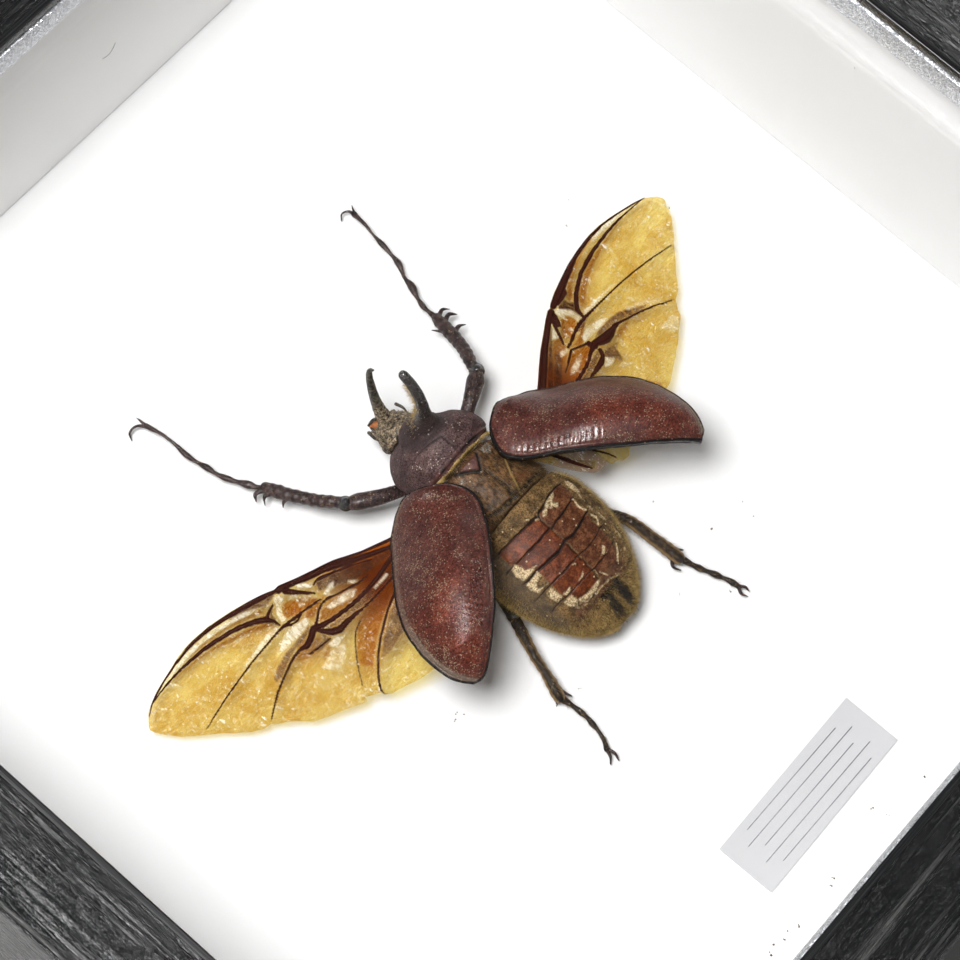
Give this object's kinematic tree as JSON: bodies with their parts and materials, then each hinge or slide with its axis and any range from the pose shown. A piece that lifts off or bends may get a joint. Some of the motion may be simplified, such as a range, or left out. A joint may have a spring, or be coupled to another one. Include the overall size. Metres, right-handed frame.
{
  "type": "framed rhinoceros beetle",
  "caption": "Deep square box frame with a glass front, holding a horned rhinoceros beetle mounted with its wing cases and hind wings spread, and a blank label.",
  "frame": {"origin": "centre of the rear rim, the face that the frame lies on", "axes": "+X to the picture's right, the way a label is read; +Y to the picture's top, the beetle's head end; +Z out of the glass"},
  "size_m": [0.17, 0.1692, 0.058],
  "materials": {
    "black_moulding": "black streaked wood-grain foil on fibreboard, satin",
    "silver_slip": "silver glitter",
    "glass": "clear",
    "white_liner": "matt off-white card",
    "white_board": "matt white card",
    "hardboard": "bare brown hardboard",
    "bent_metal": "zinc-plated steel",
    "label_paper": "matt paper",
    "head_shell": "rough dark brown chitin with short hairs",
    "pronotum_shell": "satin purple-brown chitin",
    "thorax_hairy": "brown chitin under olive hairs",
    "abdomen_shell": "red-brown chitin with cream flakes and olive hairs",
    "elytra_shell": "satin maroon chitin, black rim",
    "wing_membrane": "amber membrane with dark veins",
    "leg_shell": "satin black-brown chitin"
  },
  "bodies": {
    "root": {"rail_left": "black_moulding", "rail_right": "black_moulding", "rail_top": "black_moulding", "rail_bottom": "black_moulding", "silver_slip_left": "silver_slip", "silver_slip_right": "silver_slip", "silver_slip_top": "silver_slip", "silver_slip_bottom": "silver_slip", "glass_pane": "glass", "wall_liner_left": "white_liner", "wall_liner_right": "white_liner", "wall_liner_top": "white_liner", "wall_liner_bottom": "white_liner", "backing_board": "white_board", "back_panel": "hardboard", "back_tab_left_1": "bent_metal", "back_tab_left_2": "bent_metal", "back_tab_right_1": "bent_metal", "back_tab_right_2": "bent_metal", "back_tab_top_1": "bent_metal", "back_tab_top_2": "bent_metal", "back_tab_bottom_1": "bent_metal", "back_tab_bottom_2": "bent_metal", "hanger": "bent_metal", "label": "label_paper", "head": "head_shell", "pronotum": "pronotum_shell", "thorax": "thorax_hairy", "abdomen": "abdomen_shell", "elytron_left": "elytra_shell", "elytron_right": "elytra_shell", "hindwing_left": "wing_membrane", "hindwing_right": "wing_membrane", "leg_front_left": "leg_shell", "leg_front_right": "leg_shell", "leg_middle_left": "leg_shell", "leg_middle_right": "leg_shell", "leg_hind_left": "leg_shell", "leg_hind_right": "leg_shell"}
  },
  "joints": []
}
